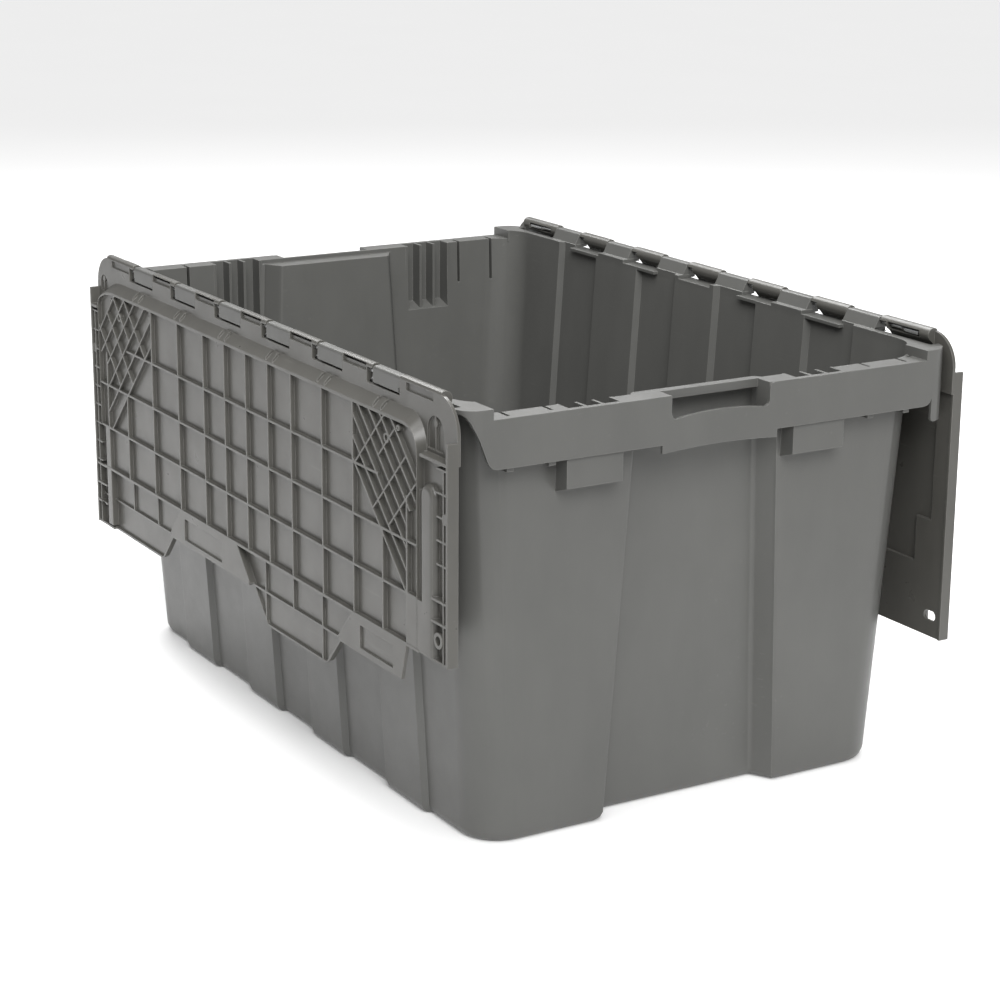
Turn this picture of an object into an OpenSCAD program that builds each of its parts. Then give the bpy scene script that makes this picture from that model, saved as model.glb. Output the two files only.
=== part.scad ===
// Attached lid tote: an open moulded tote with two lids that interlock along the centre
// line. Each lid swings on a steel rod through the knuckles of one long side, from
// hanging against the wall to closed over the opening.
// X is the width, Y the length, Z is up. The origin is the centre of the base.

/* [Tote] */
// Overall length over the two end bands
tote_l = 711; // [702:1:730]
// Distance between the two hinge axes
hinge_span = 476; // [468:1:490]
// Height of the hinge axes above the base
hinge_h = 377.4; // [330:0.1:420]
// Thickness of the walls
wall_t = 3; // [2.5:0.1:3.5]
// Thickness of the floor
floor_t = 3.5; // [2.5:0.1:5]

/* [Long sides] */
// Outward lean of a long wall per millimetre of height
side_draft = 0.0607; // [0.05:0.0001:0.062]
// Distance that the pilasters stand proud
pilaster_d = 5; // [3:0.5:5.5]

/* [Short ends] */
// Outward lean of an end wall per millimetre of height
end_draft = 0.031; // [0.02:0.001:0.032]
// Depth of the recessed bay in each end wall
bay_d = 19.5; // [12:0.5:22]
// Half the width of the hand hold
grip_half = 48; // [40:1:55]

/* [Lids] */
// Depth of a lid's ribs and skirts below its hinge axis
rib_tip = 13.4; // [12:0.1:13.4]
// Distance that a tab reaches past the centre line
tab_reach = 29; // [20:1:29]
// Thickness of the ribs
rib_t = 2; // [1.5:0.1:2.5]

/* [Hinges] */
// Spacing of the tote's knuckles along a long side
knuckle_pitch = 96.8; // [92:0.1:98]
// Length of one of the tote's knuckles
knuckle_l = 44; // [36:1:46]
// Radius of the hinge rod
rod_r = 2; // [1.5:0.1:2.2]
// Radial play of the rod in its bores
rod_play = 0.06; // [0.02:0.01:0.1]

/* [Hidden] */
$fn = 48;
plastic = [0.43, 0.43, 0.40];
steel = [0.72, 0.73, 0.75];

hinge_x = hinge_span / 2;
end_y = tote_l / 2;

// Levels of the rim
deck_z = hinge_h - 13.9;
corner_z = hinge_h - 5.4;
ledge_z = hinge_h - 8.6;
band_z = deck_z - 39.5;
deck_t = 3;

// Plan of the walls at the base, and what they keep at every height
base_half_x = 203.3;
base_half_y = 327;
corner_r = 35;
base_r = 9;
floor_r = 6;
relief_d = 1.5;
relief_w = 36;
arc_steps = 7;
pilaster_edges = [34, 97, 174, 240];
edge_slope = 2;
bay_half = 86.3;
bay_taper = 0.0508;
bay_side = 9;
bay_round = 3;

function half_x(z) = base_half_x + side_draft * z;
function half_y(z) = base_half_y + end_draft * z;

// One quarter of the wall outline at height z, moved inward by i
function quarter(z, i) =
    let(x = half_x(z) - i, y = half_y(z) - i, r = max(corner_r - i, 2),
        b = bay_half - bay_taper * z + 0.9 * i, q = bay_round)
    concat(
        [for (k = [0:3], s = [-1, 1])
            [x + ((k % 2 == 0) == (s > 0) ? pilaster_d : 0), pilaster_edges[k] + s * edge_slope]],
        [for (k = [0:arc_steps])
            [x - r + r * cos(90 * k / arc_steps), y - r + r * sin(90 * k / arc_steps)]],
        [[b + q, y], [b + 0.2 * q, y - 0.3 * q], [b - 0.1 * q, y - q],
         [b - bay_side + 0.3 * q, y - bay_d + q], [b - bay_side - 0.2 * q, y - bay_d + 0.3 * q],
         [b - bay_side - q, y - bay_d]]);

function backward(list) = [for (k = [len(list) - 1:-1:0]) list[k]];

// The whole wall outline, anticlockwise, at height z
function outline(z, i = 0) =
    let(q = quarter(z, i), p = backward(q))
    concat(q, [for (v = p) [-v[0], v[1]]], [for (v = q) [-v[0], -v[1]]], [for (v = p) [v[0], -v[1]]]);

function raised(points, z) = [for (p = points) [p[0], p[1], z]];

// Inset of a quarter round of radius r at height h above its foot
function round_in(h, r) = r - sqrt(r * r - (r - h) * (r - h));

function total(list, k = 0) = k == len(list) ? [0, 0, 0] : list[k] + total(list, k + 1);

// A closed solid skinned over a list of rings of equal length, flat at both ends
module skin(rings) {
    n = len(rings[0]);
    m = len(rings);
    sides = [for (k = [0:m - 2], j = [0:n - 1])
        [k * n + j, (k + 1) * n + j, (k + 1) * n + (j + 1) % n, k * n + (j + 1) % n]];
    foot = [for (j = [0:n - 1]) [n * m, j, (j + 1) % n]];
    head = [for (j = [0:n - 1]) [n * m + 1, (m - 1) * n + (j + 1) % n, (m - 1) * n + j]];
    centres = [total(rings[0]) / n, total(rings[m - 1]) / n];
    polyhedron(concat([for (ring = rings) each ring], centres), concat(sides, foot, head));
}

// Walls and floor as one skin: up the outside, over the rim and down the inside
module shell() {
    out_h = [0, 1.2, 3.8, base_r];
    in_h = [floor_r, 1.8, 0];
    skin(concat(
        [for (h = [relief_d, 0]) raised(outline(h, relief_w), h)],
        [for (h = out_h) raised(outline(h, round_in(h, base_r)), h)],
        [raised(outline(deck_z), deck_z), raised(outline(deck_z, wall_t), deck_z)],
        [for (h = in_h)
            raised(outline(floor_t + h, wall_t + round_in(h, floor_r)), floor_t + h)]));
}

// Copies its children for both long sides or both ends
module both() {
    children();
    rotate([0, 0, 180]) children();
}

module mirrored() {
    children();
    mirror([1, 0, 0]) children();
}

// A box from its low corner to its high corner
module box(low, high) {
    translate(low) cube(high - low);
}

/* ---- tote body ---- */

step_x = 211;
corner_edge_r = 20;
band_t = 3;
band_half = 213;
pocket_x = [[-141, -94], [77.5, 124.5]];
pocket_floor = deck_z - 61.5;
pocket_fall = 6;
slot_x = [-194, -155, 155, 194];
slot_w = 3;
slot_h = 43;
grip_drop = 56;

// Rounded rectangle centred on the origin, given its half sizes
module rounded(x, y, r) {
    square([2 * x, 2 * (y - r)], center = true);
    square([2 * (x - r), 2 * y], center = true);
    for (sx = [-1, 1], sy = [-1, 1]) translate([sx * (x - r), sy * (y - r)]) circle(r);
}

leg_z = band_z - 14;

// Front view of an end band: a slanted wing at its left end and a leg at its right end
module band_outline() {
    far = hinge_x + 1;
    bend_x = hinge_x - corner_edge_r;
    lip_end = deck_z - 19.5;
    lip_mid = deck_z - 16;
    foot_end = band_z - 7;
    foot_mid = band_z - 4.5;
    wing = [[-grip_drop, band_z], [-208, band_z], [-211.5, band_z + 1], [-214.5, band_z + 3.6],
            [-217, band_z + 9], [-223, band_z + 25], [-229, corner_z - 10], [-231.5, corner_z - 6],
            [-234.5, corner_z - 3.5], [-far, corner_z - 2], [-far, corner_z + 1], [-step_x, corner_z + 1],
            [-step_x, deck_z]];
    grip_l = [[-grip_half, deck_z], [-grip_half, lip_end + 5], [-grip_half + 1.2, lip_end + 1.8],
              [-grip_half + 4, lip_end]];
    arch = [for (k = [7:-1:1]) let(u = cos(180 * k / 8)) [(grip_half - 4) * u,
            lip_mid + (lip_end - lip_mid) * u * u]];
    grip_r = [[grip_half - 4, lip_end], [grip_half - 1.2, lip_end + 1.8], [grip_half, lip_end + 5],
              [grip_half, deck_z - 4], [grip_half + 1.2, deck_z - 1.2], [grip_half + 4, deck_z]];
    leg = [[step_x, deck_z], [step_x, corner_z + 1], [far, corner_z + 1], [far, leg_z],
           [bend_x + 2, leg_z], [bend_x, leg_z + 2], [bend_x, band_z + 7], [bend_x - 1.5, band_z + 3],
           [bend_x - 4.5, band_z + 0.8], [bend_x - 9, band_z], [grip_drop, band_z]];
    foot = [for (k = [0:8]) let(u = cos(180 * k / 8)) [grip_drop * u,
            foot_mid + (foot_end - foot_mid) * u * u]];
    polygon(concat(wing, grip_l, arch, grip_r, leg, foot));
}

// End band: a wall of one thickness along the end and round both corners
module band_face() {
    intersection() {
        linear_extrude(corner_z) difference() {
            rounded(hinge_x, end_y, corner_edge_r);
            rounded(hinge_x - band_t, end_y - band_t, corner_edge_r - band_t);
        }
        translate([0, corner_edge_r - end_y, 0]) rotate([90, 0, 0]) linear_extrude(corner_edge_r + 1)
            band_outline();
    }
}

// Deck between an end wall and its band, at the lower level
module band_deck() {
    wall_y = half_y(deck_z) - wall_t;
    difference() {
        box([-step_x - 2, -end_y + 1, deck_z - deck_t], [step_x + 2, -wall_y, deck_z]);
        box([-grip_half, -end_y, deck_z - 9], [grip_half, -half_y(deck_z), deck_z + 9]);
    }
    // side cheeks of the hand hold and riser up to the raised corners
    mirrored() {
        box([grip_half, -end_y + 1, band_z + 6], [grip_half + 3, -wall_y - 1, deck_z]);
        box([step_x, -end_y + 1, deck_z - deck_t], [step_x + 3, -half_y(deck_z) + 12, corner_z]);
    }
}

// Draws its child, a Y and Z profile, along X between two places
module along_x(x0, x1) {
    translate([x0, 0, 0]) rotate([90, 0, 90]) linear_extrude(x1 - x0) children();
}

// A box behind the band, open at the top and through the wall, with two upright fins
module band_pocket(span) {
    out_y = -end_y + 2.5;
    in_y = -half_y(pocket_floor) + 2;
    along_x(span[0] - 2.5, span[1] + 2.5)
        polygon([[out_y, deck_z], [out_y, pocket_floor - 2.5], [in_y, pocket_floor - pocket_fall - 2.5],
                 [in_y, deck_z]]);
}

module band_pocket_void(span) {
    out_y = -end_y + 2.5 + 3;
    in_y = -half_y(0) + 6;
    pitch = (span[1] - span[0]) / 3;
    difference() {
        along_x(span[0], span[1])
            polygon([[out_y, deck_z + 1], [out_y, pocket_floor], [in_y, pocket_floor - pocket_fall - 4],
                     [in_y, deck_z + 1]]);
        for (k = [1, 2])
            box([span[0] + k * pitch - 1.3, out_y - 1, pocket_floor - 20],
                [span[0] + k * pitch + 1.3, -half_y(deck_z) + wall_t, deck_z]);
    }
}

// Plan of the raised rim: corners and long sides, outside the walls
module rim_plan() {
    difference() {
        union() {
            for (sx = [-1, 1]) translate([sx * (hinge_x + step_x) / 2, 0])
                square([hinge_x - step_x, tote_l - 2 * corner_edge_r], center = true);
            for (sx = [-1, 1], sy = [-1, 1])
                translate([sx * (hinge_x - corner_edge_r), sy * (end_y - corner_edge_r)])
                    circle(corner_edge_r);
            for (sx = [-1, 1], sy = [-1, 1])
                translate([sx * (step_x + hinge_x - corner_edge_r) / 2, sy * (end_y - corner_edge_r)])
                    square([hinge_x - corner_edge_r - step_x, 2 * corner_edge_r], center = true);
        }
        polygon(outline(deck_z, wall_t));
        square([2 * step_x, tote_l], center = true);
    }
}

flange_t = 3;
rest_y = [262, 337];
rest_z = hinge_h - 7.9;

// Raised rim: its deck, the wall under it and the flange down its long outer edge
module rim() {
    translate([0, 0, corner_z - deck_t]) linear_extrude(deck_t) rim_plan();
    // continuation of the walls from the deck level up to the raised rim
    translate([0, 0, deck_z - 1]) linear_extrude(corner_z - deck_z) intersection() {
        polygon(outline(deck_z));
        rim_plan();
    }
    both() box([hinge_x - flange_t, -end_y + corner_edge_r + 6, band_z + 16],
               [hinge_x, end_y - corner_edge_r - 6, corner_z - 1]);
    // thicker places that the lids' end knuckles turn over
    both() for (s = [-1, 1]) scale([1, s, 1])
        box([hinge_x - 14, rest_y[0] - 2, rest_z - deck_t], [hinge_x, rest_y[1] + 2, corner_z - 1]);
}

gap_l = knuckle_pitch - knuckle_l;

function knuckle_y(k) = (k - 2.5) * knuckle_pitch;

// One of the tote's knuckles on the right side, standing on the rim
module body_knuckle() {
    foot = corner_z - deck_t - hinge_h;
    translate([0, knuckle_l / 2, 0]) rotate([90, 0, 0]) linear_extrude(knuckle_l)
        polygon([[0, foot], [4.2, -8.2], [4.2, 2.8], [3.5, 4.3], [2, 5.2], [-3.2, 5.2], [-4.4, 4.7],
                 [-5.2, 3.6], [-10, corner_z - hinge_h], [-10, foot]]);
}

// Lower place in the rim under one of the lid's knuckles
module rim_gap() {
    box([half_x(ledge_z) - 20, -gap_l / 2 + 0.5, ledge_z],
        [hinge_x + 5, gap_l / 2 - 0.5, corner_z + 5]);
}

module ledge() {
    box([half_x(ledge_z) - wall_t, -gap_l / 2 - 2, ledge_z - 3],
        [hinge_x, gap_l / 2 + 2, ledge_z]);
}

module tote_body() {
    color(plastic) difference() {
        union() {
            shell();
            both() {
                band_face();
                band_deck();
                for (span = pocket_x) band_pocket(span);
                for (k = [0:4]) translate([0, (k - 2) * knuckle_pitch, 0]) ledge();
            }
            rim();
            both() for (k = [0:5]) translate([hinge_x, knuckle_y(k), hinge_h]) body_knuckle();
            both() bay_roof();
            both() band_nubs();
        }
        both() {
            for (span = pocket_x) band_pocket_void(span);
            for (x = slot_x)
                box([x - slot_w / 2, -end_y + 7, deck_z - slot_h],
                    [x + slot_w / 2, -end_y + 26, deck_z + 1]);
            for (k = [0:4]) translate([0, (k - 2) * knuckle_pitch, 0]) rim_gap();
            bay_top_cut();
            for (s = [-1, 1]) scale([1, s, 1])
                box([hinge_x - 9, rest_y[0], rest_z], [hinge_x + 5, rest_y[1], corner_z + 1]);
        }
        rod_bore();
        mirror([1, 0, 0]) rod_bore();
    }
}

// Closes the recessed bay just under the rim, behind the hand hold
bay_roof_z = deck_z - 4;

module bay_roof() {
    b = bay_half - bay_taper * bay_roof_z;
    wall_y = half_y(deck_z);
    translate([0, 0, bay_roof_z - wall_t]) linear_extrude(wall_t) difference() {
        translate([-b - 5, -wall_y + 0.5]) square([2 * b + 10, bay_d + wall_t]);
        polygon(outline(bay_roof_z, wall_t));
    }
    box([-b - 5, -wall_y, bay_roof_z - wall_t], [b + 5, -wall_y + wall_t, deck_z]);
}

// Removes the bay's own wall above its roof
module bay_top_cut() {
    b = bay_half - bay_taper * deck_z;
    wall_y = half_y(deck_z) - wall_t;
    box([-b - 6, -wall_y, bay_roof_z], [b + 6, -wall_y + bay_d + 6, deck_z + 1]);
}

// Small feet of the band's inner ribs, just under its lower edge
module band_nubs() {
    for (x = [-194, -156, 156, 194])
        box([x - 3, -end_y + 4, band_z - 4], [x + 3, -half_y(band_z) + 1, deck_z - 1]);
}

module rod_bore() {
    translate([hinge_x, 0, hinge_h]) rotate([90, 0, 0])
        cylinder(r = rod_r + rod_play, h = 6 * knuckle_pitch, center = true);
}

/* ---- lids, drawn closed with the hinge axis on the Y axis and the lid along +X ---- */

sheet_t = 2.4;
strip_top = -1.8;
strip_low = -4.6;
end_top = -4.6;
panel_top = -7;
lid_half = end_y;
notch_u = 10;
edge_u = hinge_x - 32;
tab_u = hinge_x + tab_reach;
flange_u = hinge_x - 1.5;
tab_tip = -9.3;
flange_top = -10.2;
seam_v = 172.5;
seam_gap = 2.3;
seam_slope = 0.9;
tab_cut = 4;
end_knuckle = [265, 330];
rib_rows = [76.4, 119.4, 162.4];
tab_row = 236.5;
rib_columns = [-201, -146, -89, -44, 0, 44, 89, 146, 206];
rib_low = -rib_tip + 0.2;

// Raised border of the tray: the place of its ridge on three sides, and its rounded corners
ridge_u = 24.5;
near_v = 307.5;
far_v = 337;
near_corner = [20, 22];
far_corner = [18, 44];
ridge_w = 2.5;
ridge_run = 8;
top_run = [2.6, 9.85];
end_run = 0.15;
border_end = 163.5;
plate_end = 46.5;

// A box in the lid's own axes, u away from the hinge, v along it and w up
module slab(u, v, w) {
    box([u[0], v[0], w[0]], [u[1], v[1], w[1]]);
}

// Plan of the tray's border o outside its ridge, up to u1, from the plain end round to the tab
// end. Both ends lie a further i inwards.
function tray(o, u1, i = 0) =
    let(q = end_run * o - i, n = near_corner + [o, q], f = far_corner + [o, q], steps = 8)
    concat([[u1, -near_v - q]],
        [for (k = [0:steps]) let(a = 90 * k / steps)
            [ridge_u - o + n[0] * (1 - sin(a)), -near_v - q + n[1] * (1 - cos(a))]],
        [for (k = [steps:-1:0]) let(a = 90 * k / steps)
            [ridge_u - o + f[0] * (1 - sin(a)), far_v + q - f[1] * (1 - cos(a))]],
        [[u1, far_v + q]]);

// Hinge strip with its rounded outer corners and notches for the tote's knuckles
module strip() {
    r = 28;
    translate([0, 0, strip_low]) linear_extrude(strip_top - strip_low) difference() {
        union() {
            translate([-4, -lid_half + r]) square([r, 2 * (lid_half - r)]);
            for (s = [-1, 1]) translate([r - 4, s * (lid_half - r)]) {
                circle(r);
                translate([0, -r]) square([plate_end - r + 4, 2 * r]);
            }
        }
        for (k = [0:5]) translate([-r, knuckle_y(k) - knuckle_l / 2 - 1])
            square([r + notch_u, knuckle_l + 2]);
    }
}

// Tray: strip, sloping border with its ridge, and the sheet of the panel between them
module tray_border() {
    difference() {
        union() {
            strip();
            skin([raised(tray(ridge_run, edge_u - 1), strip_low + 2.4),
                  raised(tray(ridge_run, edge_u - 1), strip_low),
                  raised(tray(0.7, edge_u - 1), 0.9 - rib_tip), raised(tray(0, edge_u - 1), -rib_tip)]);
        }
        skin([raised(tray(top_run[1], tab_u, sheet_t), 1),
              raised(tray(top_run[0], tab_u, sheet_t), panel_top)]);
        translate([0, 0, -rib_tip - 1]) linear_extrude(rib_tip + 1 + panel_top - sheet_t)
            polygon(tray(-ridge_w, tab_u));
        slab([plate_end, tab_u], [-lid_half, lid_half], [end_top, 1]);
        // room for the tote's raised corners and for the channel at the tab end
        for (s = [-1, 1]) scale([1, s, 1])
            slab([-5, 27.4], [322, lid_half + 1], [-rib_tip - 1, strip_low - 0.4]);
        slab([border_end, tab_u], [332.5, lid_half], [-rib_tip - 1, end_top - sheet_t]);
        corner_pocket(-1, 322, 12.5, 27);
        corner_pocket(1, 339, 8, 14);
    }
}

// Arched recess in the underside of the strip's corner, with a thin rib and a boss in it
module corner_pocket(s, v, r, l) {
    depth = 2;
    translate([14 + r, s * v, strip_low - 1]) difference() {
        linear_extrude(1 + depth) {
            circle(r);
            translate([0, -r]) square([l - r, 2 * r]);
        }
        linear_extrude(3 + depth) {
            translate([-r - 1, -0.7]) square([l + 2, 1.4]);
            translate([-r / 2, 0]) circle(2.6);
        }
    }
}

// Plan of the tabs (t = 1) or of the flanges (t = 0) between the edge and the far side u1. The
// tabs' free corners are cut off.
module seam_plan(t, u1) {
    from = edge_u - 2.5;
    function seam(c, u, s) = c + s * (seam_gap + (u - hinge_x) * seam_slope);
    c = tab_cut;
    function side(v, s) =
        [[from, seam(v, from, s)], [u1 - c, seam(v, u1 - c, s)], [u1, seam(v, u1, s) + s * c]];
    if (t == 1) {
        polygon(concat(side(-seam_v, 1), backward(side(0, -1))));
        polygon(concat(side(seam_v, 1), [[u1, lid_half], [from, lid_half]]));
    } else {
        polygon([[from, seam(0, from, -1)], [u1, seam(0, u1, -1)], [u1, seam(seam_v, u1, 1)],
                 [from, seam(seam_v, from, 1)]]);
        polygon([[from, -291], [u1, -282], [u1, seam(-seam_v, u1, 1)], [from, seam(-seam_v, from, 1)]]);
    }
}

// Upper sheet of the tabs with a rib round their edge
module tabs() {
    translate([0, 0, end_top - sheet_t]) linear_extrude(sheet_t) seam_plan(1, tab_u);
    translate([0, 0, tab_tip]) linear_extrude(end_top - tab_tip) tab_ribs_plan();
}

// Ribs under the tabs: along the slanted sides, the free edge and the grid
module tab_ribs_plan() {
    short = tab_row - edge_u + 2;
    long = tab_u - edge_u + 2;
    intersection() {
        seam_plan(1, tab_u);
        union() {
            translate([tab_u - rib_t, -lid_half]) square([rib_t, 2 * lid_half]);
            translate([tab_row - rib_t / 2, -lid_half]) square([rib_t, 2 * lid_half]);
            for (c = [[-136, long], [-81, short], [-26, long], [211, short], [270, short], [320, long]])
                translate([edge_u - 2, c[0] - rib_t / 2]) square([c[1], rib_t]);
            seam_rib(-seam_v, 1);
            seam_rib(0, -1);
            seam_rib(seam_v, 1);
        }
    }
}

// Slanted rib along one side of a tab
module seam_rib(c, s) {
    slant = atan(seam_slope) * s;
    translate([hinge_x, c + s * seam_gap]) rotate(slant)
        translate([-60, s > 0 ? -8 : -rib_t]) square([120, 8 + rib_t]);
}

// Lower flanges that lie under the other lid's tabs, each with a shallow pocket
module flanges() {
    difference() {
        union() {
            translate([0, 0, -rib_tip]) linear_extrude(flange_top + rib_tip) seam_plan(0, flange_u);
            // upright side shared with the next tab
            translate([0, 0, -rib_tip]) linear_extrude(end_top + rib_tip) intersection() {
                seam_plan(1, flange_u);
                union() {
                    seam_rib(-seam_v, 1);
                    seam_rib(0, -1);
                    seam_rib(seam_v, 1);
                }
            }
        }
        slab([edge_u + 5, edge_u + 25.5], [57, 139], [-rib_tip - 1, -rib_tip + 1.8]);
        slab([edge_u + 6, edge_u + 25.5], [-268, -212], [-rib_tip - 1, -rib_tip + 1.8]);
    }
}

// Grid of ribs under the panel and the wall along its free edge
module panel_ribs() {
    slab([edge_u - 2.5, edge_u], [-near_v - 3, far_v - 4], [-rib_tip, end_top]);
    rib_row(rib_rows[0], -244, 267);
    rib_row(rib_rows[1], -near_v + 1, far_v - 1);
    rib_row(rib_rows[2], -near_v + 1, far_v - 1);
    for (v = rib_columns) rib_column(v, ridge_u + 1);
    rib_column(-251, rib_rows[1]);
    rib_column(269, rib_rows[1]);
    rib_column(-291, 83);
    rib_column(318, 86);
    translate([0, 0, rib_low]) linear_extrude(panel_top - 1 - rib_low) {
        lattice(-1, 128, 18.5, 7, [281, 306, 342, 376], 201, 306, 291);
        lattice(1, 147, 24, 6, [298, 326, 360, 398], 206, 336, 318);
    }
    // ejector bosses
    for (p = [[44.2, -258.4, 4.2], [32, -277.5, 2.6], [46, 283, 4.2], [33, 303, 2.6]])
        translate([p[0], p[1], rib_low]) difference() {
            cylinder(r = p[2], h = panel_top - 1 - rib_low);
            translate([0, 0, -1]) cylinder(r = p[2] - 1.6, h = 3);
        }
}

module rib_row(u, v0, v1) {
    slab([u - rib_t / 2, u + rib_t / 2], [v0, v1], [rib_low, panel_top - 1]);
}

module rib_column(v, u0) {
    slab([u0, edge_u - 1], [v - rib_t / 2, v + rib_t / 2], [rib_low, panel_top - 1]);
}

// A bar of the given thickness in plan, from one point to another
module bar(from, to, t) {
    d = to - from;
    translate(from) rotate(atan2(d[1], d[0])) translate([0, -t / 2]) square([norm(d), t]);
}

// Two crossing families of thin ribs at 45 degrees over one end of the panel. The outward ones
// have v - u = first + k * pitch, and the inward ones have v + u = sums[k].
module lattice(s, first, pitch, count, sums, inner, outer, side) {
    t = 1.5;
    last = first + (count - 1) * pitch;
    low = border_end - 1;
    spans = [[first, 2 * sums[0]], [first + (count - 4) * pitch, last], [first, last],
             [first + pitch, 2 * outer - sums[3]]];
    scale([1, s]) intersection() {
        polygon([[ridge_u + 1, inner], [inner - first + t, inner], [low, low + first - t], [low, side],
                 [100, side], [84, outer], [ridge_u + 1, outer]]);
        union() {
            for (k = [0:count - 1]) let(d = first + k * pitch)
                bar([0, d], [low, low + d], t);
            for (k = [0:3]) let(a = (sums[k] + spans[k][0]) / 2, b = (sums[k] + spans[k][1]) / 2)
                bar([sums[k] - a, a], [sums[k] - b, b], t);
        }
    }
}

// Half section of the smooth bead beside the panel, rounded at its shoulders
bead_v = 322;
bead_r = 11;
bead_side = [[end_top - 1, bead_r], [-9.5, bead_r - 0.4], [-12.2, bead_r - 2.4], [rib_low, bead_r - 5.5]];

// Bead at the plain end: narrow beside the tray and wide beyond the end of its border
module near_bead() {
    start = 77;
    back = [for (k = [3:-1:0]) [bead_side[k][0], -bead_side[k][1]]];
    translate([edge_u - 1, -bead_v, 0]) rotate([0, -90, 0]) linear_extrude(edge_u - 1 - start)
        polygon(concat(bead_side, back));
    translate([start, -bead_v, 0]) rotate_extrude()
        polygon(concat([[0, end_top - 1]], [for (p = bead_side) [p[1], p[0]]], [[0, rib_low]]));
    slab([border_end - 1, edge_u - 1], [-bead_v, 1 - 291], [rib_low, end_top - 1]);
    slab([start - 3, border_end], [-bead_v, 1 - near_v], [-10.4, end_top - 1]);
}

module far_bead() {
    slab([border_end - 1, tab_u - 4], [317, 327], [rib_low, end_top - 1]);
    translate([tab_u - 4, 0, 0]) rotate([0, -90, 0]) linear_extrude(tab_u - 3 - border_end)
        polygon([[end_top - 1, 326], [end_top - 1, 333], [-9.5, 332], [-12.2, 330], [rib_low, 327]]);
}

// End channel: its sheet from v0, skirt, cross ribs and inner rib, down to u1
module end_channel(s, v0, u1) {
    skirt_v = lid_half - 2.5;
    first = 50.2;
    pitch = 18.9;
    scale([1, s, 1]) {
        slab([plate_end - 2.5, u1], [v0, lid_half], [end_top - sheet_t, end_top]);
        slab([28, u1], [skirt_v, lid_half], [-rib_tip, strip_low + 1]);
        slab([plate_end - 2.5, plate_end], [v0 + 4, lid_half], [-rib_tip, strip_top]);
        slab([u1 - rib_t, u1], [317, lid_half], [1 - rib_tip, end_top]);
        slab([first, u1 - 1], [skirt_v - 6.3, skirt_v - 4.7], [0.9 - rib_tip, end_top]);
        for (u = [first:pitch:u1 - 62])
            slab([u - 0.8, u + 0.8], [s > 0 ? 340 : 337, skirt_v + 1], [0.9 - rib_tip, end_top]);
        for (u = s > 0 ? [u1 - 61.5, u1 - 42, u1 - 23] : [u1 - 51, u1 - 33])
            slab([u - rib_t / 2, u + rib_t / 2], [330, skirt_v + 1], [-rib_tip, end_top]);
        translate([first + 2 * pitch, skirt_v - 3, 0.9 - rib_tip])
            cylinder(r = 4.5, h = rib_tip - 0.9 + end_top);
    }
}

// Holes for a seal: through a boss at the plain end, and slotted at the tab end
boss_at = [edge_u - 19, -341];
boss_r = 6.6;
seal_r = 3.8;
slot_at = [tab_u - 19, 340];
slot_r = 4.5;

module end_boss() {
    translate([boss_at[0], boss_at[1], -rib_tip]) cylinder(r = boss_r, h = rib_tip + end_top);
}

// One lid: the two long ends differ, so that two alike interlock
module lid() {
    difference() {
        union() {
            tray_border();
            panel_ribs();
            tabs();
            flanges();
            near_bead();
            far_bead();
            end_channel(1, far_v - 1, tab_u);
            slab([border_end - 1, tab_u], [316, far_v], [end_top - sheet_t, end_top]);
            end_channel(-1, near_v + 1, edge_u);
            end_boss();
            knuckles();
            gussets();
        }
        translate([boss_at[0], boss_at[1], -rib_tip - 1]) cylinder(r = seal_r, h = rib_tip + 4);
        for (d = [-3, 0, 3]) translate([slot_at[0], slot_at[1] + d, -rib_tip - 1])
            cylinder(r = slot_r, h = rib_tip + 4);
        rotate([90, 0, 0]) cylinder(r = rod_r + rod_play, h = 2 * rod_half + 8, center = true);
        knuckle_windows();
    }
}

// Knuckles of the lid
module knuckles() {
    l = gap_l - 2;
    for (k = [0:4]) translate([0, (k - 2) * knuckle_pitch, 0]) knuckle(l);
    for (s = [-1, 1]) translate([0, s * (end_knuckle[0] + end_knuckle[1]) / 2, 0])
        knuckle(end_knuckle[1] - end_knuckle[0]);
}

// One knuckle of length l: flat outside, rolled over the rod on its inner side
module knuckle(l) {
    roll = [for (a = [180:-20:20]) [roll_r * cos(a) - roll_back, roll_r * sin(a)]];
    translate([0, l / 2, 0]) rotate([90, 0, 0]) linear_extrude(l)
        polygon(concat([[11, strip_low], [-3.8, strip_low], [-5.6, -3.8], [-roll_r - roll_back, -2]],
                       roll, [[8.8, strip_top], [11, strip_top]]));
}

rod_half = 316;
window = [275.5, 318];
roll_r = 5.7;
roll_back = 0.9;

// Openings in the knuckles: in each inner one a recess and a gap that shows the rod, in the
// end ones a long window round the rod's bend
module knuckle_windows() {
    for (k = [0:4]) translate([0, (k - 2) * knuckle_pitch, 0]) {
        slab([-5.2, 0.8], [-16, 24], [-6, -2.6]);
        slab([-5.2, -2.7], [-16, 24], [-3, 1.8]);
        slab([-2.6, 10], [-27, -17], [-6, 6]);
    }
    slab([-2.6, 10], [end_knuckle[0] - 1, end_knuckle[0] + 9], [-6, 6]);
    for (s = [-1, 1]) scale([1, s, 1]) {
        slab([-3, 3], window, [-2.2, 6]);
        slab([-3, 3.4], window, [-6, -2.9]);
    }
}

// Pairs of small ribs on the slope below each notch
module gussets() {
    for (k = [0:5], d = [-6.5, 6.5]) translate([0, knuckle_y(k) + d, 0]) rotate([90, 0, 0])
        linear_extrude(1.5, center = true)
            polygon([[16.4, -5.5], [16.4, -8.2], [21.5, -12.9], [24, -13], [24, -11]]);
}

/* ---- hinge rods, drawn along the Y axis ---- */

crank_rise = 3.2;
crank_y = [289, 301];
tip_r = rod_r - 0.06;
tip_sides = 20;
crank_steps = 8;

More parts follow.
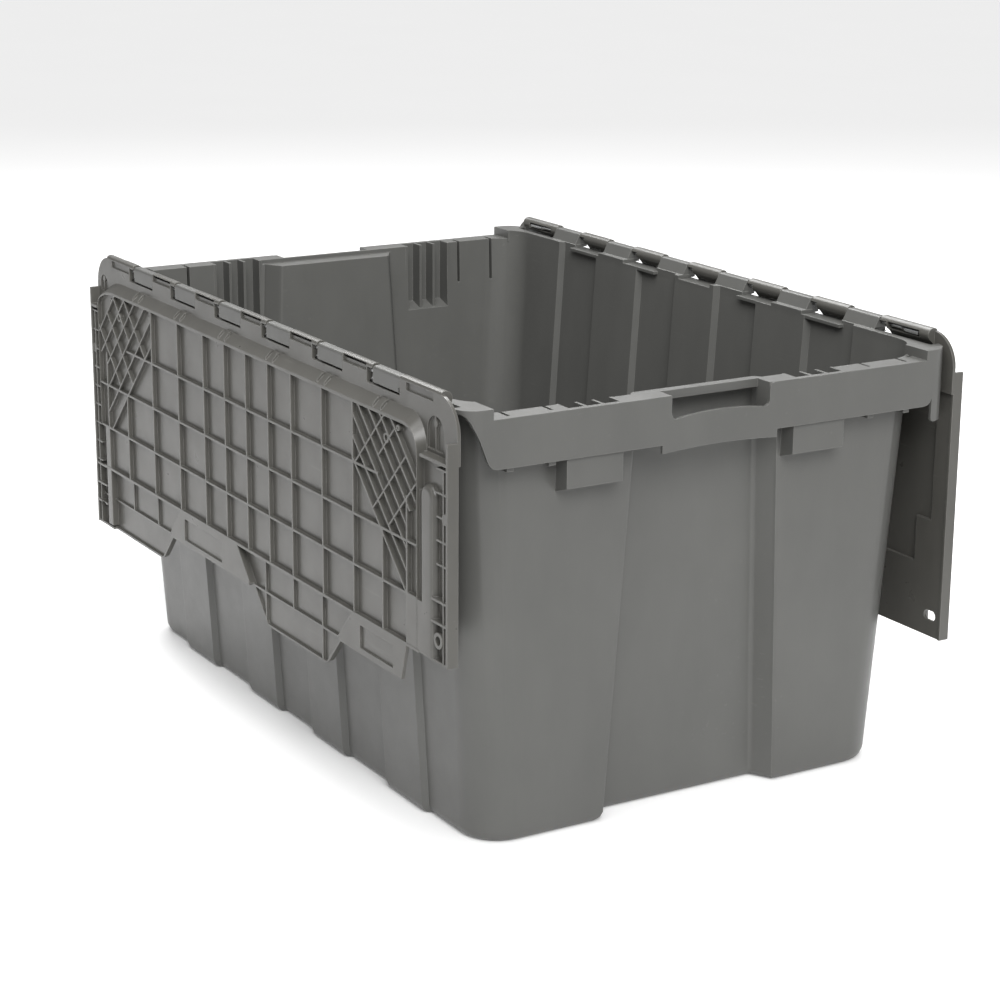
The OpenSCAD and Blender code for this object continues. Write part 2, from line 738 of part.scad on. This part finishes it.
// Ring of the wire's cranked end, a share t of the way along the crank
function crank_ring(y, t) =
    let(rise = crank_rise * (3 * t * t - 2 * t * t * t),
        slope = atan(6 * crank_rise * t * (1 - t) / (crank_y[1] - crank_y[0])))
    [for (k = [0:tip_sides - 1]) let(a = -360 * k / tip_sides, n = tip_r * sin(a))
        [tip_r * cos(a), y - n * sin(slope), rise + n * cos(slope)]];

// Steel rod, cranked near each end so that it can't slide out of the lid
module rod() {
    translate([0, -crank_y[0], 0]) rotate([-90, 0, 0]) cylinder(r = rod_r, h = 2 * crank_y[0]);
    for (s = [0, 180]) rotate([0, 0, s])
        skin(concat([crank_ring(crank_y[0] - 4, 0)],
            [for (k = [0:crank_steps]) let(t = k / crank_steps)
                crank_ring(crank_y[0] + t * (crank_y[1] - crank_y[0]), t)],
            [crank_ring(rod_half, 1)]));
}

// Turns a closed left lid down until it hangs outside the wall
module hang_left() {
    translate([-hinge_x, 0, hinge_h]) rotate([0, 90, 0]) children();
}

module left_lid() {
    color(plastic) hang_left() lid();
}

module right_lid() {
    color(plastic) rotate([0, 0, 180]) hang_left() lid();
}

module left_hinge_rod() {
    color(steel) hang_left() rod();
}

module right_hinge_rod() {
    color(steel) rotate([0, 0, 180]) hang_left() rod();
}

tote_body();
left_lid();
right_lid();
left_hinge_rod();
right_hinge_rod();
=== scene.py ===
import math

import bmesh
import bpy
from mathutils import Matrix, Vector


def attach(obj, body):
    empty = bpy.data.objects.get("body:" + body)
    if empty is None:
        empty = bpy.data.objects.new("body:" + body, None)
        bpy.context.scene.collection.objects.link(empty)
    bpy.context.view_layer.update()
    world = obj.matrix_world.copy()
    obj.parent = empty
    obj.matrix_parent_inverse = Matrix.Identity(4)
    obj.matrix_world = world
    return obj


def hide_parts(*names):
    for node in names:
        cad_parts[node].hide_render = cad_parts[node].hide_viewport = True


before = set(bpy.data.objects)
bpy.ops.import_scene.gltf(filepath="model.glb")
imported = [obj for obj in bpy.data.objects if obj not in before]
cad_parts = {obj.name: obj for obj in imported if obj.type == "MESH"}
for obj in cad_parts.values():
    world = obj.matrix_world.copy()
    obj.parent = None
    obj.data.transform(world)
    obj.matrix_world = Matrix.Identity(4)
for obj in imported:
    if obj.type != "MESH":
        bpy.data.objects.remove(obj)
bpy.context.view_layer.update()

MM = 0.001
WHITE = (1.0, 1.0, 1.0, 1.0)


# ---------------------------------------------------------------- materials

# sockets of a Mix node set to colours
MIX_FACTOR, MIX_A, MIX_B, MIX_RESULT = 0, 6, 7, 2

BEVEL_SAMPLES = 4

# dot product of the rounded and the real normal, on a flat face and on a full edge
FLAT_DOT, EDGE_DOT = 0.995, 0.86


class Graph:
    """Short calls for building one material's node tree."""

    def __init__(self, name):
        self.material = bpy.data.materials.new(name)
        self.material.use_nodes = True
        self.tree = self.material.node_tree
        self.shader = self.tree.nodes["Principled BSDF"]
        self.position = self.node("ShaderNodeTexCoord").outputs["Object"]

    def node(self, kind, **settings):
        made = self.tree.nodes.new(kind)
        for key, value in settings.items():
            setattr(made, key, value)
        return made

    def link(self, source, target):
        self.tree.links.new(source, target)

    def feed(self, socket, source):
        """Link a node's output to one of the shader's sockets."""
        self.link(source, self.shader.inputs[socket])

    def fix(self, socket, value):
        """Give one of the shader's sockets a value that is the same all over."""
        self.shader.inputs[socket].default_value = value

    def stretched(self, stretch):
        mapping = self.node("ShaderNodeMapping")
        mapping.inputs["Scale"].default_value = stretch
        self.link(self.position, mapping.inputs["Vector"])
        return mapping.outputs["Vector"]

    def noise(self, scale, detail=3.0, rough=0.5, stretch=None):
        """Noise over the object; along an axis whose stretch is below 1 it runs longer."""
        made = self.node("ShaderNodeTexNoise")
        made.inputs["Scale"].default_value = scale
        made.inputs["Detail"].default_value = detail
        made.inputs["Roughness"].default_value = rough
        vector = self.stretched(stretch) if stretch else self.position
        self.link(vector, made.inputs["Vector"])
        return made.outputs["Fac"]

    def ramp(self, source, low, high, out_low=0.0, out_high=1.0):
        """Source from low to high becomes out_low to out_high, and stays within them."""
        made = self.node("ShaderNodeMapRange", clamp=True)
        made.inputs["From Min"].default_value = low
        made.inputs["From Max"].default_value = high
        made.inputs["To Min"].default_value = out_low
        made.inputs["To Max"].default_value = out_high
        self.link(source, made.inputs["Value"])
        return made.outputs["Result"]

    def math(self, operation, a, b):
        """One sum; a is a socket, and b is a socket or a number."""
        made = self.node("ShaderNodeMath", operation=operation)
        self.link(a, made.inputs[0])
        if isinstance(b, float):
            made.inputs[1].default_value = b
        else:
            self.link(b, made.inputs[1])
        return made.outputs["Value"]

    def mix(self, factor, a, b):
        """Colour a at factor 0 and b at 1; each is an RGB tuple or a socket."""
        made = self.node("ShaderNodeMix", data_type="RGBA")
        self.link(factor, made.inputs[MIX_FACTOR])
        for socket, value in ((made.inputs[MIX_A], a), (made.inputs[MIX_B], b)):
            if isinstance(value, tuple):
                socket.default_value = (*value, 1.0)
            else:
                self.link(value, socket)
        return made.outputs[MIX_RESULT]

    def rounded(self, radius):
        """The surface normal with edges rounded to this radius."""
        made = self.node("ShaderNodeBevel", samples=BEVEL_SAMPLES)
        made.inputs["Radius"].default_value = radius
        return made.outputs["Normal"]

    def edges(self, radius):
        """1 along sharp convex and concave edges, 0 on flat faces."""
        real = self.node("ShaderNodeNewGeometry")
        dot = self.node("ShaderNodeVectorMath", operation="DOT_PRODUCT")
        self.link(self.rounded(radius), dot.inputs[0])
        self.link(real.outputs["Normal"], dot.inputs[1])
        return self.ramp(dot.outputs["Value"], FLAT_DOT, EDGE_DOT)

    def bump(self, height, distance, strength, normal=None):
        """A bumped normal, on top of another one where it is given."""
        made = self.node("ShaderNodeBump")
        made.inputs["Strength"].default_value = strength
        made.inputs["Distance"].default_value = distance
        self.link(height, made.inputs["Height"])
        if normal is not None:
            self.link(normal, made.inputs["Normal"])
        return made.outputs["Normal"]


def moulded_plastic(name, base, dark, light, gloss):
    """Polyethylene: slow shade changes, flow marks, scuffs, paler edges and mould grain.

    The paler edges are partly rubbed wear and partly a painted highlight. base and dark are the
    plastic's own two shades, and light is the pale shade of the marks, the wear and the painted
    highlight. gloss is the roughness that the surface varies around.
    """
    g = Graph(name)
    edge = g.edges(radius=1.1 * MM)

    cloud = g.ramp(g.noise(scale=7.0, detail=4.0, rough=0.55), low=0.3, high=0.7)
    colour = g.mix(cloud, dark, base)

    flow = g.noise(scale=24.0, detail=5.0, rough=0.6, stretch=(1.0, 1.0, 0.35))
    colour = g.mix(g.ramp(flow, low=0.35, high=0.75, out_high=0.10), colour, light)

    scratch = g.noise(scale=190.0, detail=2.0, rough=0.5, stretch=(1.0, 0.06, 1.0))
    scratch = g.ramp(scratch, low=0.66, high=0.74, out_high=0.18)
    patch = g.ramp(g.noise(scale=9.0, detail=2.0), low=0.5, high=0.7)
    colour = g.mix(g.math("MULTIPLY", scratch, patch), colour, light)

    # paler edges: partly rubbed wear, partly a painted highlight along convex and concave
    # edges, spread unevenly by noise
    uneven_wear_and_highlight = g.ramp(g.noise(scale=60.0), low=0.3, high=0.65, out_low=0.3, out_high=0.8)
    colour = g.mix(g.math("MULTIPLY", edge, uneven_wear_and_highlight), colour, light)
    g.feed("Base Color", colour)

    rough = g.ramp(g.noise(scale=40.0, detail=4.0, rough=0.6), low=0.25, high=0.75,
                   out_low=gloss - 0.05, out_high=gloss + 0.07)
    polish = g.math("MULTIPLY", edge, 0.08)
    g.feed("Roughness", g.math("SUBTRACT", rough, polish))
    g.fix("Specular IOR Level", 0.42)
    g.fix("IOR", 1.5)

    sink = g.noise(scale=28.0, detail=2.0)
    waves = g.bump(sink, distance=0.12 * MM, strength=0.35, normal=g.rounded(0.7 * MM))
    grain = g.noise(scale=1500.0, detail=2.0, rough=0.6)
    g.feed("Normal", g.bump(grain, distance=0.03 * MM, strength=0.55, normal=waves))
    return g.material


def drawn_wire(name, dark, light):
    """Bright drawn steel wire with lengthwise draw marks between two shades."""
    g = Graph(name)
    marks = g.noise(scale=900.0, rough=0.6, stretch=(1.0, 0.02, 1.0))
    g.feed("Base Color", g.mix(g.ramp(marks, low=0.3, high=0.7), dark, light))
    g.fix("Metallic", 1.0)
    g.feed("Roughness", g.ramp(marks, low=0.25, high=0.75, out_low=0.2, out_high=0.34))
    g.feed("Normal", g.bump(marks, distance=0.02 * MM, strength=0.6))
    return g.material


# light is the pale shade of flow marks, scuffs and worn edges, and also the colour of the
# painted highlight along edges
TOTE_GREY = moulded_plastic("tote_plastic", base=(0.085, 0.085, 0.080),
                            dark=(0.078, 0.078, 0.074), light=(0.17, 0.17, 0.161), gloss=0.36)
LID_GREY = moulded_plastic("lid_plastic", base=(0.072, 0.070, 0.063),
                           dark=(0.065, 0.063, 0.057), light=(0.20, 0.197, 0.184), gloss=0.31)
STEEL = drawn_wire("rod_steel", dark=(0.62, 0.63, 0.64), light=(0.86, 0.87, 0.88))


# ---------------------------------------------------------------- the object

MERGE_DISTANCE = 0.001 * MM
FLAT_ANGLE = math.radians(0.6)      # triangles closer to one plane than this become one face
SHARP_ANGLE = math.radians(35)      # edges sharper than this are rounded
EDGE_WIDTH = 0.5 * MM
EDGE_SEGMENTS = 2
FLAT_FACE_WEIGHT = 100              # 50 is neutral; more lets big faces outweigh small ones


def softened(node, name, material):
    """A copy of a CAD node with its flats merged and its sharp edges rounded."""
    piece = bpy.data.objects.new(name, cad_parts[node].data.copy())
    bpy.context.scene.collection.objects.link(piece)
    mesh = bmesh.new()
    mesh.from_mesh(piece.data)
    bmesh.ops.remove_doubles(mesh, verts=mesh.verts, dist=MERGE_DISTANCE)
    bmesh.ops.dissolve_limit(mesh, angle_limit=FLAT_ANGLE, verts=mesh.verts, edges=mesh.edges)
    for face in mesh.faces:
        face.smooth = True
    mesh.to_mesh(piece.data)
    mesh.free()
    piece.data.materials.clear()
    piece.data.materials.append(material)
    bevel = piece.modifiers.new("edges", "BEVEL")
    bevel.width = EDGE_WIDTH
    bevel.segments = EDGE_SEGMENTS
    bevel.limit_method = "ANGLE"
    bevel.angle_limit = SHARP_ANGLE
    bevel.use_clamp_overlap = True
    bevel.harden_normals = True
    # big flat faces keep their own normal, so that no shade runs across them
    flats = piece.modifiers.new("flats", "WEIGHTED_NORMAL")
    flats.mode = "FACE_AREA"
    flats.weight = FLAT_FACE_WEIGHT
    flats.keep_sharp = True
    return piece


# CAD node, piece that stands for it, its material, its body, its material slot
PIECES = (
    ("tote_body", "tote_shell", TOTE_GREY, "tote", "tote_plastic"),
    ("left_lid", "left_lid_moulding", LID_GREY, "lid_left", "lid_plastic"),
    ("right_lid", "right_lid_moulding", LID_GREY, "lid_right", "lid_plastic"),
)

for node, name, material, body, slot in PIECES:
    piece = softened(node, name, material)
    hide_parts(node)
    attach(piece, body)

for node in ("left_hinge_rod", "right_hinge_rod"):
    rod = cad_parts[node]
    rod.data.materials.clear()
    rod.data.materials.append(STEEL)


# ---------------------------------------------------------------- studio

FLOOR_HALF = 12.0
FLOOR_GLOW = 0.1
WORLD_STRENGTH = 0.28


def put_light(name, light, towards):
    """Link a light to the scene, turned so that it shines along a direction."""
    holder = bpy.data.objects.new(name, light)
    holder.rotation_euler = towards.to_track_quat("-Z", "Y").to_euler()
    bpy.context.scene.collection.objects.link(holder)
    return holder


def area_light(name, place, target, size, power):
    light = bpy.data.lights.new(name, "AREA")
    light.shape = "RECTANGLE"
    light.size, light.size_y = size
    light.energy = power
    put_light(name, light, Vector(target) - Vector(place)).location = place


def soft_sun(name, source, strength, angle):
    """A sun that shines from the direction of source, as wide as angle in degrees."""
    light = bpy.data.lights.new(name, "SUN")
    light.energy = strength
    light.angle = math.radians(angle)
    put_light(name, light, -Vector(source))


def studio_floor():
    corners = [(-FLOOR_HALF, -FLOOR_HALF, 0), (FLOOR_HALF, -FLOOR_HALF, 0),
               (FLOOR_HALF, FLOOR_HALF, 0), (-FLOOR_HALF, FLOOR_HALF, 0)]
    mesh = bpy.data.meshes.new("studio_floor")
    mesh.from_pydata(corners, [], [(0, 1, 2, 3)])
    floor = bpy.data.objects.new("studio_floor", mesh)
    bpy.context.scene.collection.objects.link(floor)
    g = Graph("studio_floor")
    cloud = g.noise(scale=3.0, detail=2.0)
    g.feed("Base Color", g.mix(cloud, (0.88, 0.88, 0.88), (0.90, 0.90, 0.90)))
    g.fix("Roughness", 0.7)
    g.fix("Emission Color", WHITE)
    g.fix("Emission Strength", FLOOR_GLOW)
    mesh.materials.append(g.material)


def studio_world():
    world = bpy.data.worlds.new("studio")
    bpy.context.scene.world = world
    world.use_nodes = True
    background = world.node_tree.nodes["Background"]
    background.inputs["Color"].default_value = WHITE
    background.inputs["Strength"].default_value = WORLD_STRENGTH
    bpy.context.scene.view_settings.view_transform = "Standard"


studio_floor()
area_light("overhead", place=(-0.22, -0.3, 1.35), target=(0.12, 0.18, 0.15),
           size=(0.8, 1.0), power=14.0)
area_light("back", place=(0.9, 1.7, 2.3), target=(0.0, 0.0, 0.35),
           size=(2.4, 1.2), power=75.0)
soft_sun("key", source=(-0.27, -0.735, 0.62), strength=3.1, angle=35.0)
studio_world()


# ---------------------------------------------------------------- camera

# from the fit of the camera to the object's edges in the photograph
CAMERA_PLACE = Vector((-1.1368, -1.9099, 0.8137))
CAMERA_YAW = math.radians(-30.934)
CAMERA_PITCH = math.radians(15.816)
CAMERA_ROLL = math.radians(0.410)
CAMERA_LENS = 89.09
CAMERA_SENSOR = 36.0
CAMERA_REACH = 50.0


def make_camera():
    level = math.cos(CAMERA_PITCH)
    back = Vector((math.sin(CAMERA_YAW) * level, -math.cos(CAMERA_YAW) * level,
                   math.sin(CAMERA_PITCH)))
    right = Vector((math.cos(CAMERA_YAW), math.sin(CAMERA_YAW), 0.0))
    up = back.cross(right)
    turned_right = math.cos(CAMERA_ROLL) * right + math.sin(CAMERA_ROLL) * up
    turned_up = -math.sin(CAMERA_ROLL) * right + math.cos(CAMERA_ROLL) * up
    data = bpy.data.cameras.new("camera")
    data.lens = CAMERA_LENS
    data.sensor_width = CAMERA_SENSOR
    data.clip_end = CAMERA_REACH
    camera = bpy.data.objects.new("camera", data)
    bpy.context.scene.collection.objects.link(camera)
    columns = Matrix((turned_right, turned_up, back)).transposed().to_4x4()
    camera.matrix_world = Matrix.Translation(CAMERA_PLACE) @ columns
    bpy.context.scene.camera = camera


make_camera()

bpy.context.view_layer.update()
